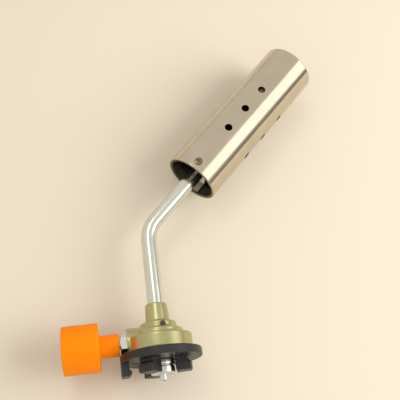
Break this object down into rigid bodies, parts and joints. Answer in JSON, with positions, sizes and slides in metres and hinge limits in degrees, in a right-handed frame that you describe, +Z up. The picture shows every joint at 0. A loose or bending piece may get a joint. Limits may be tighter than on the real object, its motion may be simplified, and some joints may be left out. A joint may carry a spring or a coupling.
{
  "type": "gas torch head",
  "caption": "Hand gas torch head: black bayonet cartridge collar, yellowish cast valve body, orange knob, bent plated tube and a polished barrel with air holes.",
  "frame": {"origin": "centre of the bayonet collar's underside, where the cartridge seats", "axes": "+Z up along the cartridge's and the gas tube's axis, +X towards the burner, the knob points to -X, +Y completes the frame"},
  "size_m": [0.1497, 0.04, 0.1806],
  "materials": {
    "black_plastic": "moulded black plastic, satin",
    "screw_steel": "zinc-plated steel screws",
    "zinc_casting": "zinc die-casting with a yellow chromate finish",
    "bright_steel": "turned and plated steel",
    "seal_rubber": "black nitrile rubber",
    "sintered_bronze": "sintered bronze",
    "dark_screw": "dark steel grub screw",
    "turned_brass": "turned brass",
    "nut_plate": "bright plated hexagon nut",
    "orange_plastic": "moulded orange plastic, matte",
    "plated_tube": "zinc-plated steel tube, satin",
    "polished_steel": "polished stainless steel",
    "strap_steel": "pressed steel strap",
    "barrel_screw": "plated steel screws",
    "heat_steel": "heat-darkened steel",
    "heat_brass": "heat-tinted brass"
  },
  "bodies": {
    "torch": {"bayonet_collar": "black_plastic", "collar_screws": "screw_steel", "valve_body": "zinc_casting", "inlet_spigot": "bright_steel", "inlet_gasket": "seal_rubber", "inlet_filter": "sintered_bronze", "tube_seal": "seal_rubber", "tube_grub_screw": "dark_screw", "gland_washer": "turned_brass", "gland_nut": "nut_plate", "gas_tube": "plated_tube", "burner_barrel": "polished_steel", "tube_bracket": "strap_steel", "bracket_screws": "barrel_screw", "jet_holder": "turned_brass", "jet_filter": "sintered_bronze", "gas_jet": "turned_brass", "mixing_tube": "heat_steel", "burner_head": "heat_brass", "flame_disc": "heat_brass"},
    "seal": {"spindle_seal": "seal_rubber"},
    "control": {"spindle": "turned_brass", "knob": "orange_plastic", "knob_screw": "screw_steel"}
  },
  "joints": [
    {"name": "needle_feed", "type": "slide", "parent": "torch", "child": "seal", "axis": [-1, 0, 0], "range_m": [0, 0.0015]},
    {"name": "knob_turn", "type": "hinge", "parent": "seal", "child": "control", "pos_m": [-0.02, 0, 0.0096], "axis": [-1, 0, 0], "range_deg": [0, 720]}
  ],
  "couplings": [
    {"joint": "knob_turn", "follows": "needle_feed", "rad_per_m": 8377.5}
  ]
}
